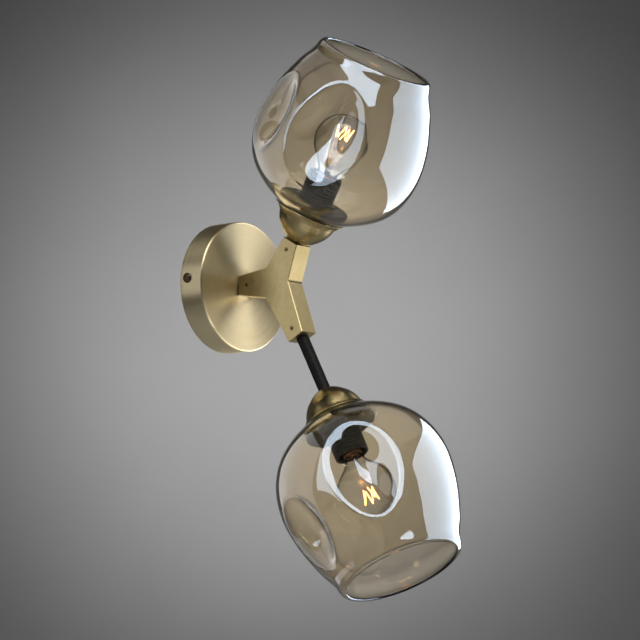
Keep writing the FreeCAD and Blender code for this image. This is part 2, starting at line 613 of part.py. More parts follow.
def head(which, pole, stem_from, glass_len):
    pl = HEAD[which]
    q = lambda d: pole + d
    # tube that carries the head, running in the arm's bore
    name = "upper_stem" if which == "upper" else "lower_rod"
    node(name, turned(name, [("tube_bore_r", stem_from), ("tube_r", stem_from), ("tube_r", q(10.0)), ("tube_bore_r", q(10.0))]), pl)
    node(which + "_cup", cup(which, pole), pl)
    hex_nut(which + "_cup_nut", 14.0, 3.0, P["tube_r"] + 0.02, q(P["cup_wall"] + 0.05), pl)
    # lamp holder: threaded skirt with a shoulder, and the loose plate on it that the glass is drawn down to
    zf = q(P["glass_seat"])
    zm = q(P["mouth"])
    th = ridged(P["skirt_r"], P["skirt_root_r"], zf + 0.4, zm - 1.6, 2.0)
    node(which + "_lampholder", turned(which + "_lampholder", [
        (P["tube_r"] + 0.03, q(4.6)), (11.0, q(4.6)), (13.2, q(8.0)), (13.6, zf - 4.4), (14.6, zf - 3.9), (14.6, zf - 3.05),
        (13.75, zf - 3.05), (13.75, zf + 0.2)] + th + [
        (13.6, zm - 1.4), (14.3, zm - 1.1), (14.3, zm - 0.3), (13.9, zm), (12.9, zm), (P["skirt_bore_r"], zm - 0.6),
        (P["skirt_bore_r"], q(12.0)), (P["tube_r"] + 0.03, q(12.0))]), pl)
    node(which + "_shade_seat", turned(which + "_shade_seat", [
        (13.8, zf - 3.0), (20.0, zf - 3.0), (20.0, zf - 1.05), (13.8, zf - 1.05)]), pl)
    node(which + "_holder_insert", turned(which + "_holder_insert", [
        (0, q(26.0)), (12.55, q(26.0)), (12.55, q(50.0)), (11.9, q(50.8)), (8.6, q(50.8)), (7.85, q(50.0)), (7.85, q(32.6)), (0, q(32.6))]), pl)
    node(which + "_screw_shell", turned(which + "_screw_shell", [
        (P["shell_r"], q(34.6)), (7.8, q(34.6)), (7.8, q(52.0)), (8.4, q(52.6)), (8.2, q(53.0)), (7.5, q(52.7)), (P["shell_r"], q(52.0))]), pl)
    contact = fuse(which + "_contact_parts", [
        box(which + "_contact_foot", 9.0, 4.0, 0.5, (-4.5, -2.0, q(32.6))),
        box(which + "_contact_rise", 0.5, 4.0, 2.0, (-4.5, -2.0, q(32.6))),
        box(which + "_contact_pad", 7.0, 4.0, 0.5, (-4.5, -2.0, q(34.15)))])
    node(which + "_centre_contact", contact, pl)
    # glass, with a soft ring below it and a slip washer and black ring above
    node(which + "_shade_gasket", turned(which + "_shade_gasket", [
        (14.9, zf - 1.0), (19.8, zf - 1.0), (19.8, zf - 0.05), (14.9, zf - 0.05)]), pl)
    g = doc.addObject("Part::Feature", which + "_shade_glass")
    g.Shape = shade_shape(which, glass_len, P["glass_hole_r"], P["glass_wall"], zf)
    node(which + "_glass_shade", g, pl)
    zg = zf + P["glass_wall"]
    node(which + "_slip_washer", turned(which + "_slip_washer", [
        (P["skirt_r"] + 0.06, zg + 0.25), (21.0, zg + 0.25), (21.0, zg + 0.85), (P["skirt_r"] + 0.06, zg + 0.85)]), pl)
    zr = zg + 0.88
    rr = P["ring_r"]
    node(which + "_shade_ring", spun(which + "_shade_ring", [
        [(P["skirt_r"] + 0.06, zr), (24.5, zr)], [(24.5, zr), (27.4, zr + 0.9), (rr - 0.6, zr + 2.4), (rr, zr + 3.8)],
        [(rr, zr + 3.8), (rr - 0.35, zr + 5.0), (rr - 1.6, zr + 5.9), (rr - 3.4, zr + 6.1)],
        [(rr - 3.4, zr + 6.1), (22.0, zr + 5.2), (18.2, zr + 5.0)],
        [(18.2, zr + 5.0), (17.6, zr + 8.2)], [(17.6, zr + 8.2), (P["skirt_r"] + 0.06, zr + 8.2)],
        [(P["skirt_r"] + 0.06, zr + 8.2), (P["skirt_r"] + 0.06, zr)]]), pl)
    # lamp: contact tip, cap, bulb, stem and glowing wire
    node(which + "_bulb_tip", turned(which + "_bulb_tip", [
        (0, q(34.7)), (1.8, q(34.7)), (2.6, q(35.2)), (2.6, q(36.2)), (0, q(36.2))]), pl)
    cap_th = ridged(P["cap_r"], 6.35, q(39.2), q(53.2), 2.82)
    node(which + "_bulb_cap", turned(which + "_bulb_cap", [
        (0, q(36.23)), (3.4, q(36.23)), (5.2, q(38.2)), (6.3, q(38.6))] + cap_th + [
        (6.4, q(53.4)), (8.3, q(54.6)), (8.3, q(60.4)), (7.7, q(60.4)), (7.7, q(55.2)), (5.6, q(54.0)), (5.6, q(39.6)), (0, q(39.6))]), pl)
    gz = q(65.0 + 25.2)
    R = P["globe_r"]

    def arc(rad, a0, a1, n):
        return [(rad * math.sin(math.radians(a0 + (a1 - a0) * i / n)), gz + rad * math.cos(math.radians(a0 + (a1 - a0) * i / n))) for i in range(n + 1)]
    so = arc(R, 0.0, 138.0, 14)
    neck_o = [so[-1], (11.2, q(68.6)), (8.6, q(64.0)), (7.55, q(60.0)), (7.45, q(56.0))]
    t = 0.8
    si = arc(R - t, 0.0, 138.0, 14)
    neck_i = [(7.45 - t, q(56.0)), (7.55 - t, q(60.0)), (8.6 - t, q(64.2)), (11.2 - t, q(68.9)), si[-1]]
    node(which + "_bulb_glass", spun(which + "_bulb_glass", [
        so + neck_o[1:], [neck_o[-1], neck_i[0]], neck_i + si[::-1][1:], [si[0], so[0]]]), pl)
    node(which + "_bulb_stem", turned(which + "_bulb_stem", [
        (0, q(56.2)), (5.8, q(56.2)), (5.2, q(58.4)), (2.6, q(62.0)), (2.1, q(70.0)), (2.3, q(77.0)), (1.9, q(82.0)),
        (1.3, q(83.2)), (0, q(83.2))]), pl)
    # filament: a crown of zigzag wire on hooks round the stem, with two leads
    wires = []

    def wire(a, b, rad, tag):
        a, b = V(*a), V(*b)
        d = b - a
        c = doc.addObject("Part::Cylinder", which + tag)
        c.Radius, c.Height = rad, d.Length
        c.Placement = FreeCAD.Placement(a, FreeCAD.Rotation(V(0, 0, 1), d))
        return c
    pts = []
    n = 8
    for i in range(n + 1):
        ang = math.radians(-150 + 300.0 * i / n)
        lo, rad = (q(92.0), 4.6) if i % 2 == 0 else (q(102.5), 6.2)
        pts.append((rad * math.cos(ang), rad * math.sin(ang), lo))
    for a, b in zip(pts[:-1], pts[1:]):
        wires.append(wire(a, b, 0.3, "_fil"))
    for pnt in pts:
        s = doc.addObject("Part::Sphere", which + "_bead")
        s.Radius = 0.36
        place(s, pnt)
        wires.append(s)
    for e in (0, n):
        wires.append(wire((1.6 * math.cos(math.radians(-150 + 300.0 * e / n)), 1.6 * math.sin(math.radians(-150 + 300.0 * e / n)), q(80.0)), pts[e], 0.3, "_lead"))
    for e in range(1, n):
        a = math.radians(-150 + 300.0 * e / n)
        wires.append(wire((0.6 * math.cos(a), 0.6 * math.sin(a), q(82.0)), pts[e], 0.2, "_hook"))
    node(which + "_bulb_filament", fuse(which + "_filament", wires), pl)


head("upper", P["pole_up"], 18.0, P["glass_up_len"])
head("lower", P["pole_low"], 25.5, P["glass_low_len"])

# ------------------------------------------------------------ check and write
doc.recompute()
bad = []
for o in doc.Objects:
    if "Invalid" in o.State or "Error" in o.State:
        bad.append(o.Name + " " + str(o.State))
for name, o in NODES.items():
    s = o.Shape
    if s.isNull() or not s.isValid() or not s.Solids:
        bad.append(name + " has no valid solid")
if bad:
    raise RuntimeError("; ".join(bad))
for old in os.listdir("parts"):
    if old.endswith(".step") and old[:-5] not in NODES:
        os.remove(os.path.join("parts", old))
for name, o in NODES.items():
    o.Shape.exportStep("parts/%s.step" % name)
print(len(NODES), "pieces written")
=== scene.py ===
import math

import bpy
from mathutils import Matrix, Vector, noise


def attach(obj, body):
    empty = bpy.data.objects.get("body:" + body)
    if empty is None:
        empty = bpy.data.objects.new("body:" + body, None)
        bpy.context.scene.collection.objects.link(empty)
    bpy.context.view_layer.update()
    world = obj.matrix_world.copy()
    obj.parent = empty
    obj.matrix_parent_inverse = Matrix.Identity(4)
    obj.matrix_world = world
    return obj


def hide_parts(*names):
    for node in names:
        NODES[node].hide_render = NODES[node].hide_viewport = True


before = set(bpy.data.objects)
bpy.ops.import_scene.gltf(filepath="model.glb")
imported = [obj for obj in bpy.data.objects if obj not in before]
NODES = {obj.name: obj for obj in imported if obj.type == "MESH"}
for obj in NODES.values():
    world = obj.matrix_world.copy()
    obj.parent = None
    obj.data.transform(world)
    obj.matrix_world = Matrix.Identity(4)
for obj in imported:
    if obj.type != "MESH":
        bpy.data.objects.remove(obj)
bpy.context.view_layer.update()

MM = 0.001

# ------------------------------------------------------------------ places
YC = 60.5
ANG = {"upper": math.radians(30.6), "lower": math.radians(180.0 - 28.5)}
POLE = {"upper": 37.9, "lower": 104.8}
GLASS_LEN = {"upper": 137.8, "lower": 141.1}
SEAT = 25.8
CUP_K = 27.0 / 25.2


def head_matrix(which):
    """Head frame (mm about the arm's axis) to the object's frame (m)."""
    return (Matrix.Translation((0, -YC * MM, 0)) @ Matrix.Rotation(ANG[which], 4, "X") @ Matrix.Scale(MM, 4))


TO_ROOM = Matrix.Rotation(math.radians(90), 4, "X") @ Matrix.Scale(MM, 4)


# ------------------------------------------------------------------ mesh help
def natural_spline(xs, ys):
    n = len(xs)
    h = [xs[i + 1] - xs[i] for i in range(n - 1)]
    a = [0.0] * n
    b = [1.0] * n
    c = [0.0] * n
    d = [0.0] * n
    for i in range(1, n - 1):
        a[i], b[i], c[i] = h[i - 1], 2 * (h[i - 1] + h[i]), h[i]
        d[i] = 6 * ((ys[i + 1] - ys[i]) / h[i] - (ys[i] - ys[i - 1]) / h[i - 1])
    for i in range(1, n):
        w = a[i] / b[i - 1]
        b[i] -= w * c[i - 1]
        d[i] -= w * d[i - 1]
    m = [0.0] * n
    m[-1] = d[-1] / b[-1]
    for i in range(n - 2, -1, -1):
        m[i] = (d[i] - c[i] * m[i + 1]) / b[i]

    def f(x):
        k = 0
        while k < n - 2 and x > xs[k + 1]:
            k += 1
        t1, t0 = xs[k + 1] - x, x - xs[k]
        return ((m[k] * t1 ** 3 + m[k + 1] * t0 ** 3) / (6 * h[k])
                + (ys[k] / h[k] - m[k] * h[k] / 6) * t1 + (ys[k + 1] / h[k] - m[k + 1] * h[k] / 6) * t0)
    return f


def curve_through(pts, step):
    """Evenly spaced points on a smooth curve through pts."""
    t = [0.0]
    for i in range(1, len(pts)):
        t.append(t[-1] + math.hypot(pts[i][0] - pts[i - 1][0], pts[i][1] - pts[i - 1][1]))
    fr = natural_spline(t, [p[0] for p in pts])
    fz = natural_spline(t, [p[1] for p in pts])
    n = max(2, int(round(t[-1] / step)))
    return [(fr(t[-1] * i / n), fz(t[-1] * i / n)) for i in range(n + 1)]


def rounded(pts, rad, n=4):
    """Straight-sided closed outline with every corner rounded a little."""
    out = []
    m = len(pts)
    for i in range(m):
        p0, p1, p2 = Vector(pts[i - 1]), Vector(pts[i]), Vector(pts[(i + 1) % m])
        a, b = p0 - p1, p2 - p1
        r = min(rad, a.length * 0.45, b.length * 0.45)
        if r < 1e-4 or a.normalized().dot(b.normalized()) < -0.999:
            out.append(tuple(p1))
            continue
        s, e = p1 + a.normalized() * r, p1 + b.normalized() * r
        for k in range(n + 1):
            u = k / n
            q = s * (1 - u) ** 2 + p1 * 2 * u * (1 - u) + e * u * u
            out.append((q.x, q.y))
    return out


def lathe(name, outline, mat4, closed=True, seg=160, sharp=35.0):
    """Revolves (r, z) points about Z; an outline point on the axis is one vertex."""
    verts, faces, rows = [], [], []
    for r, z in outline:
        if r < 1e-6:
            rows.append([len(verts)])
            verts.append(mat4 @ Vector((0, 0, z)))
        else:
            row = []
            for j in range(seg):
                th = 2 * math.pi * j / seg
                row.append(len(verts))
                verts.append(mat4 @ Vector((r * math.cos(th), r * math.sin(th), z)))
            rows.append(row)
    n = len(rows)
    for i in range(n if closed else n - 1):
        a, b = rows[i], rows[(i + 1) % n]
        if len(a) == 1 and len(b) == 1:
            continue
        for j in range(seg):
            k = (j + 1) % seg
            if len(a) == 1:
                faces.append((a[0], b[j], b[k]))
            elif len(b) == 1:
                faces.append((a[j], b[0], a[k]))
            else:
                faces.append((a[j], b[j], b[k], a[k]))
    me = bpy.data.meshes.new(name)
    me.from_pydata(verts, [], faces)
    me.validate()
    return finish_mesh(name, me, sharp)


def finish_mesh(name, me, sharp=35.0):
    import bmesh
    bm = bmesh.new()
    bm.from_mesh(me)
    bmesh.ops.recalc_face_normals(bm, faces=bm.faces[:])
    bm.to_mesh(me)
    bm.free()
    for p in me.polygons:
        p.use_smooth = True
    if sharp:
        me.set_sharp_from_angle(angle=math.radians(sharp))
    ob = bpy.data.objects.new(name, me)
    bpy.context.scene.collection.objects.link(ob)
    return ob


def add(ob, body, mat, slot, *replaced):
    ob.data.materials.clear()
    ob.data.materials.append(mat)
    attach(ob, body)
    if replaced:
        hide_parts(*replaced)
    return ob


# ------------------------------------------------------------------ materials
class Tree:
    def __init__(self, name):
        self.mat = bpy.data.materials.new(name)
        self.mat.use_nodes = True
        self.nt = self.mat.node_tree
        self.nt.nodes.clear()
        self.out = self.nt.nodes.new("ShaderNodeOutputMaterial")
        self.bsdf = self.nt.nodes.new("ShaderNodeBsdfPrincipled")
        self.link(self.bsdf.outputs[0], self.out.inputs["Surface"])

    def link(self, a, b):
        self.nt.links.new(a, b)

    def set(self, **kw):
        for k, v in kw.items():
            self.bsdf.inputs[k.replace("_", " ")].default_value = v
        return self

    def new(self, kind, **kw):
        n = self.nt.nodes.new(kind)
        for k, v in kw.items():
            if k.startswith("i_"):
                n.inputs[k[2:].replace("_", " ")].default_value = v
            else:
                setattr(n, k, v)
        return n

    def coord(self):
        return self.new("ShaderNodeTexCoord").outputs["Object"]

    def math(self, op, a, b=None):
        n = self.new("ShaderNodeMath", operation=op)
        for i, v in enumerate((a, b)):
            if v is None:
                continue
            if hasattr(v, "is_output"):
                self.link(v, n.inputs[i])
            else:
                n.inputs[i].default_value = v
        return n.outputs[0]

    def noise(self, vec, scale, detail=3.0, rough=0.5):
        n = self.new("ShaderNodeTexNoise")
        n.inputs["Scale"].default_value = scale
        n.inputs["Detail"].default_value = detail
        n.inputs["Roughness"].default_value = rough
        self.link(vec, n.inputs["Vector"])
        return n.outputs[0]

    def ramp(self, fac, stops):
        n = self.new("ShaderNodeValToRGB")
        cr = n.color_ramp
        while len(cr.elements) < len(stops):
            cr.elements.new(0.5)
        for e, (p, c) in zip(cr.elements, stops):
            e.position = p
            e.color = (*c, 1.0) if len(c) == 3 else c
        self.link(fac, n.inputs[0])
        return n.outputs[0]

    def mapr(self, fac, lo, hi, a=0.0, b=1.0):
        n = self.new("ShaderNodeMapRange")
        n.inputs["From Min"].default_value = a
        n.inputs["From Max"].default_value = b
        n.inputs["To Min"].default_value = lo
        n.inputs["To Max"].default_value = hi
        self.link(fac, n.inputs["Value"])
        return n.outputs[0]

    def bump(self, height, strength, dist):
        n = self.new("ShaderNodeBump")
        n.inputs["Strength"].default_value = strength
        n.inputs["Distance"].default_value = dist
        self.link(height, n.inputs["Height"])
        self.link(n.outputs[0], self.bsdf.inputs["Normal"])
        return n


def polar(t, axis, centre=(0, 0, 0)):
    """(distance from the axis, angle, place along it) of the object's own coordinates."""
    co = t.coord()
    mp = t.new("ShaderNodeMapping")
    mp.inputs["Location"].default_value = tuple(-c for c in centre)
    t.link(co, mp.inputs["Vector"])
    sep = t.new("ShaderNodeSeparateXYZ")
    t.link(mp.outputs[0], sep.inputs[0])
    x, y, z = sep.outputs
    if axis == "Y":
        a, b, l = x, z, y
    else:
        a, b, l = x, y, z
    r = t.math("SQRT", t.math("ADD", t.math("MULTIPLY", a, a), t.math("MULTIPLY", b, b)))
    ang = t.math("ARCTAN2", b, a)
    return r, ang, l


def turned_brass(name, cols, rough, aniso, grain=0.35):
    """Brass turned on a lathe about the wall normal: fine circular grain."""
    t = Tree(name)
    r, ang, l = polar(t, "Y")
    comb = t.new("ShaderNodeCombineXYZ")
    t.link(t.math("MULTIPLY", r, 1900.0), comb.inputs[0])
    t.link(t.math("MULTIPLY", ang, 1.1), comb.inputs[1])
    t.link(t.math("MULTIPLY", l, 1900.0), comb.inputs[2])
    fine = t.noise(comb.outputs[0], 1.0, 4.0, 0.62)
    comb2 = t.new("ShaderNodeCombineXYZ")
    t.link(t.math("MULTIPLY", r, 300.0), comb2.inputs[0])
    t.link(t.math("MULTIPLY", ang, 0.6), comb2.inputs[1])
    t.link(t.math("MULTIPLY", l, 300.0), comb2.inputs[2])
    broad = t.noise(comb2.outputs[0], 1.0, 3.0, 0.5)
    mixed = t.math("ADD", t.math("MULTIPLY", fine, 0.6), t.math("MULTIPLY", broad, 0.4))
    t.link(t.ramp(mixed, [(0.30, cols[0]), (0.5, cols[1]), (0.72, cols[2])]), t.bsdf.inputs["Base Color"])
    t.link(t.mapr(fine, rough - 0.05, rough + 0.07), t.bsdf.inputs["Roughness"])
    t.set(Metallic=1.0, Anisotropic=aniso, Anisotropic_Rotation=0.25)
    tan = t.new("ShaderNodeTangent", direction_type="RADIAL", axis="Y")
    t.link(tan.outputs[0], t.bsdf.inputs["Tangent"])
    t.bump(fine, grain, 0.00006)
    return t.mat


def line_brass(name, cols, rough, stretch, grain=0.25, aniso=0.0):
    """Brass rubbed one way: grain stretched along one direction of the piece."""
    t = Tree(name)
    mp = t.new("ShaderNodeMapping")
    mp.inputs["Scale"].default_value = stretch
    t.link(t.coord(), mp.inputs["Vector"])
    fine = t.noise(mp.outputs[0], 1.0, 4.0, 0.6)
    cloud = t.noise(t.coord(), 60.0, 3.0, 0.5)
    mixed = t.math("ADD", t.math("MULTIPLY", fine, 0.55), t.math("MULTIPLY", cloud, 0.45))
    t.link(t.ramp(mixed, [(0.28, cols[0]), (0.5, cols[1]), (0.75, cols[2])]), t.bsdf.inputs["Base Color"])
    t.link(t.mapr(fine, rough - 0.05, rough + 0.08), t.bsdf.inputs["Roughness"])
    t.set(Metallic=1.0, Anisotropic=aniso)
    t.bump(fine, grain, 0.00005)
    return t.mat


def polished(name, cols, rough, spots=90.0, grain=0.12, metallic=1.0, coat=0.0):
    t = Tree(name)
    co = t.coord()
    cloud = t.noise(co, spots, 5.0, 0.55)
    fine = t.noise(co, spots * 14, 3.0, 0.6)
    t.link(t.ramp(cloud, [(0.30, cols[0]), (0.52, cols[1]), (0.75, cols[2])]), t.bsdf.inputs["Base Color"])
    t.link(t.mapr(cloud, rough - 0.04, rough + 0.08), t.bsdf.inputs["Roughness"])
    t.set(Metallic=metallic, Coat_Weight=coat, Coat_Roughness=0.08)
    t.bump(fine, grain, 0.00004)
    return t.mat


def clear(name, colour, rough, ior, ripple=0.0, ripple_scale=40.0):
    t = Tree(name)
    co = t.coord()
    cloud = t.noise(co, 18.0, 2.0, 0.5)
    c0 = tuple(c * 0.985 for c in colour)
    t.link(t.ramp(cloud, [(0.35, c0), (0.65, colour)]), t.bsdf.inputs["Base Color"])
    t.set(Transmission_Weight=1.0, IOR=ior, Roughness=rough)
    if ripple:
        t.bump(t.noise(co, ripple_scale, 2.0, 0.4), ripple, 0.0006)
    return t.mat


canopy_brass = turned_brass("brushed_brass", [(0.665, 0.56, 0.345), (0.71, 0.605, 0.385), (0.745, 0.64, 0.42)], 0.38, 0.80, 0.10)
y_brass = line_brass("satin_brass", [(0.47, 0.375, 0.18), (0.56, 0.455, 0.235), (0.65, 0.54, 0.31)], 0.36, (1500.0, 220.0, 220.0))
cup_brass = polished("antique_brass", [(0.40, 0.315, 0.155), (0.46, 0.37, 0.19), (0.53, 0.43, 0.23)], 0.27, 45.0, 0.05)
plain_brass = polished("plain_brass", [(0.55, 0.42, 0.20), (0.70, 0.56, 0.30), (0.80, 0.66, 0.40)], 0.3)
cap_brass = polished("lamp_cap", [(0.55, 0.27, 0.13), (0.70, 0.38, 0.20), (0.80, 0.48, 0.27)], 0.28)
bronzed = polished("bronzed_steel", [(0.05, 0.035, 0.025), (0.10, 0.07, 0.05), (0.18, 0.13, 0.09)], 0.28, 500.0)
zinc = polished("zinc_steel", [(0.46, 0.47, 0.49), (0.60, 0.61, 0.62), (0.72, 0.72, 0.70)], 0.36, 160.0)
solder_m = polished("solder", [(0.5, 0.5, 0.5), (0.62, 0.62, 0.62), (0.72, 0.72, 0.72)], 0.4, 700.0)
screw_brass = polished("screw_brass", [(0.26, 0.19, 0.09), (0.38, 0.28, 0.13), (0.50, 0.38, 0.19)], 0.32, 600.0)
rod_black = polished("black_tube", [(0.006, 0.006, 0.006), (0.008, 0.008, 0.008), (0.013, 0.013, 0.013)], 0.5, 260.0, 0.10, 0.0)
rod_black.node_tree.nodes["Principled BSDF"].inputs["Specular IOR Level"].default_value = 0.12
phenolic = polished("black_phenolic", [(0.012, 0.012, 0.013), (0.018, 0.018, 0.019), (0.030, 0.030, 0.031)], 0.33, 300.0, 0.10, 0.0)
insert_m = polished("dark_insert", [(0.030, 0.026, 0.024), (0.045, 0.040, 0.036), (0.06, 0.052, 0.046)], 0.45, 300.0, 0.2, 0.0)
gloss_black = polished("gloss_black", [(0.006, 0.006, 0.007), (0.009, 0.009, 0.010), (0.014, 0.014, 0.015)], 0.10, 120.0, 0.05, 0.0, 0.5)
rubber = polished("black_rubber", [(0.02, 0.02, 0.02), (0.03, 0.03, 0.03), (0.05, 0.05, 0.05)], 0.7, 400.0, 0.3, 0.0)
nylon = polished("slip_nylon", [(0.05, 0.05, 0.05), (0.07, 0.07, 0.07), (0.09, 0.09, 0.09)], 0.5, 400.0, 0.2, 0.0)
white_plastic = polished("white_plastic", [(0.70, 0.69, 0.65), (0.80, 0.79, 0.75), (0.84, 0.83, 0.80)], 0.4, 300.0, 0.15, 0.0)
amber = clear("amber_glass", (0.972, 0.87, 0.695), 0.0, 1.48, 0.05, 22.0)
bulb_clear = clear("clear_glass", (0.985, 0.98, 0.97), 0.0, 1.45)


def glow_material():
    t = Tree("filament_wire")
    co = t.coord()
    n = t.noise(co, 900.0, 2.0, 0.5)
    t.link(t.ramp(n, [(0.3, (1.0, 0.44, 0.11)), (0.7, (1.0, 0.60, 0.22))]), t.bsdf.inputs["Emission Color"])
    t.set(Emission_Strength=10.0, Roughness=0.5, Metallic=1.0, Base_Color=(0.9, 0.6, 0.3, 1.0))
    return t.mat


glow = glow_material()

# ------------------------------------------------------------------ wall cover
R, DEP, W = 54.0, 23.0, 1.5
edge = [(R - 1.6 + 1.6 * math.sin(math.radians(a)), DEP - 1.6 + 1.6 * math.cos(math.radians(a))) for a in range(0, 91, 10)]
face = [(5.1 + (R - 1.6 - 5.1) * i / 24.0, DEP) for i in range(24)]
side = [(R, DEP - 1.6 - (DEP - 1.6 - 0.35) * i / 8.0) for i in range(1, 9)]
outline = face + edge + side + [(R - 0.12, 0.0), (R - W + 0.12, 0.0), (R - W, 0.12), (R - W, DEP - W - 0.6), (R - W - 0.25, DEP - W - 0.15),
                                (R - W - 0.7, DEP - W)] + [(R - W - 0.7 - (R - W - 0.7 - 5.1) * i / 10.0, DEP - W) for i in range(1, 11)]
add(lathe("wall_cover", outline, TO_ROOM, seg=256, sharp=50), "wall_plate", canopy_brass, "brushed_brass", "canopy_cover")
add(lathe("stub_tube", rounded([(3.5, 13.0), (5.0, 13.0), (5.0, 23.02), (7.2, 23.02), (7.2, 24.0), (5.0, 24.0), (5.0, 46.0), (3.5, 46.0)], 0.25),
          TO_ROOM, seg=96), "wall_plate", bronzed, "zinc_steel", "wall_stub")

# Cross-recess pan heads in the rim of the cover
for sx, tag in ((-1, "left"), (1, "right")):
    m = Matrix.Translation((sx * (R + 0.02) * MM, -8.0 * MM, 3.0 * MM)) @ Matrix.Rotation(sx * math.pi / 2, 4, "Y") @ Matrix.Scale(MM, 4)
    prof = [(0, 1.35), (0.7, 1.35), (0.95, 1.9), (1.35, 2.42)] + curve_through([(1.35, 2.42), (2.6, 2.2), (3.6, 1.65), (4.1, 0.8)], 0.35)[1:] + \
        [(4.15, 0.35), (4.05, 0.0), (2.0, 0.0), (2.0, -9.0), (0, -9.0)]
    ob = lathe("cover_screw_" + tag, prof, m, closed=False, seg=64, sharp=30)
    for v in ob.data.vertices:                      # four wings of the driver recess
        p = m.inverted() @ v.co
        rr, th = math.hypot(p.x, p.y), math.atan2(p.y, p.x)
        if p.z > 1.2 and 0.6 < rr < 3.0:
            w = max(0.0, math.cos(2 * (th - 0.35))) ** 10
            v.co = m @ Vector((p.x, p.y, p.z - 0.9 * w * max(0.0, 1 - rr / 3.0)))
    if sx < 0:
        add(ob, "wall_plate", bronzed, "bronzed_steel", "canopy_screws")
    else:
        add(ob, "wall_plate", bronzed, "bronzed_steel")
    ob.data.update()

# ------------------------------------------------------------------ tubes
hm = head_matrix("lower")
add(lathe("lower_tube", rounded([(3.5, 25.5), (5.0, 25.5), (5.0, POLE["lower"] + 10.0), (3.5, POLE["lower"] + 10.0)], 0.2), hm, seg=128),
    "lower_head", rod_black, "black_tube", "lower_rod")

# ------------------------------------------------------------------ glass
SHADES = {
    "upper": dict(
        prof=[(0.25, 27.2), (1.3, 29.4), (2.9, 32.4), (6.2, 38.6), (12.9, 48.8), (21.8, 58.4), (33.6, 65.6), (47.4, 69.7),
              (61.2, 70.9), (77, 69.3), (92.8, 65.4), (105.6, 60.7), (117.5, 55.4), (128.3, 49.8), (136.2, 45.4)],
        rim=44.6, dents=[(208.5, 73.7, 45.0, 32.0, 19.0), (155.0, 70.2, 36.0, 27.0, 15.0), (72.0, 78.2, 38.0, 28.0, 16.0)]),
    "lower": dict(
        prof=[(0.25, 27.2), (1.3, 29.4), (2.9, 32.2), (6.2, 38.2), (12.9, 48.3), (21.7, 57.7), (33.5, 65.2), (47.2, 69.8),
              (62.9, 71.4), (78.6, 70), (94.2, 66.7), (107, 62.5), (118.7, 57.8), (130.5, 52.8), (139.3, 48.7)],
        rim=47.9, dents=[(142.4, 71.3, 42.0, 29.0, 20.0), (206.0, 92.3, 34.0, 27.0, 16.0), (300.0, 75.3, 38.0, 28.0, 16.0)]),
}
HOLE, WALL = 14.75, 2.2


def dent(which, theta, z):
    total = 0.0
    for k, (ang, z0, half_z, half_t, depth) in enumerate(SHADES[which]["dents"]):
        da = (math.degrees(theta) - ang + 180.0) % 360.0 - 180.0
        q = ((z - z0) / half_z) ** 2 + (math.radians(da) * 68.0 / half_t) ** 2
        if q < 1.0:
            total += depth * (1.0 - q) ** (1.45 if k == 0 else 1.75)
    return total


def shade(which, nu=224, step=1.25):
    z0 = POLE[which] + SEAT
    pts = [(HOLE, 0.0), (18.0, 0.0), (22.0, 0.0), (25.0, 0.02)] + [(r, z) for z, r in SHADES[which]["prof"]]
    pts.append((SHADES[which]["rim"], GLASS_LEN[which] - 1.6))
    rows = curve_through(pts, step)
    nv = len(rows)
    outer = []
    for i, (r, z) in enumerate(rows):
        ring = []
        for j in range(nu):
            th = 2 * math.pi * j / nu
            rr = r - dent(which, th, z)
            if i > 6:                               # blown glass is never quite even
                rr += 0.22 * noise.noise(Vector((rr * math.cos(th), rr * math.sin(th), z)) * 0.035) - 0.05
            ring.append(Vector((rr * math.cos(th), rr * math.sin(th), z0 + z)))
        outer.append(ring)
    inner = []
    for i in range(nv):
        ring = []
        swell = WALL
        for j in range(nu):
            du = outer[i][(j + 1) % nu] - outer[i][j - 1]
            dv = outer[min(i + 1, nv - 1)][j] - outer[max(i - 1, 0)][j]
            ring.append(outer[i][j] + dv.cross(du).normalized() * swell)
        inner.append(ring)
    for j in range(nu):
        th = 2 * math.pi * j / nu
        inner[0][j] = Vector((HOLE * math.cos(th), HOLE * math.sin(th), z0 + WALL))
    lip = []
    k = 10
    for q in range(1, k):
        fi = math.pi * q / k
        ring = []
        for j in range(nu):
            a, b = outer[-1][j], inner[-1][j]
            mid, half = (a + b) * 0.5, (a - b) * 0.5
            along = (outer[-1][j] - outer[-2][j]).normalized()
            ring.append(mid + half * math.cos(fi) * (1.0 + 0.30 * math.sin(fi)) + along * (WALL * 0.62 * math.sin(fi)))
        lip.append(ring)
    rings = outer + lip + inner[::-1]
    m4 = head_matrix(which)
    verts = [m4 @ v for ring in rings for v in ring]
    faces = []
    n = len(rings)
    for i in range(n):
        for j in range(nu):
            a, b = i * nu, ((i + 1) % n) * nu
            faces.append((a + j, b + j, b + (j + 1) % nu, a + (j + 1) % nu))
    me = bpy.data.meshes.new(which + "_shade")
    me.from_pydata(verts, [], faces)
    return finish_mesh(which + "_shade", me, 60.0)


# ------------------------------------------------------------------ heads
def ridge_run(r_out, r_root, z0, z1, pitch):
    pts = []
    n = int((z1 - z0) / pitch)
    p = (z1 - z0) / n
    for i in range(n):
        a = z0 + i * p
        for u, k in ((0.02, 0.0), (0.14, 0.35), (0.26, 0.85), (0.38, 1.0), (0.52, 1.0), (0.64, 0.85), (0.76, 0.35), (0.88, 0.0)):
            pts.append((r_root + (r_out - r_root) * k, a + u * p))
    return pts


GLASSY = []


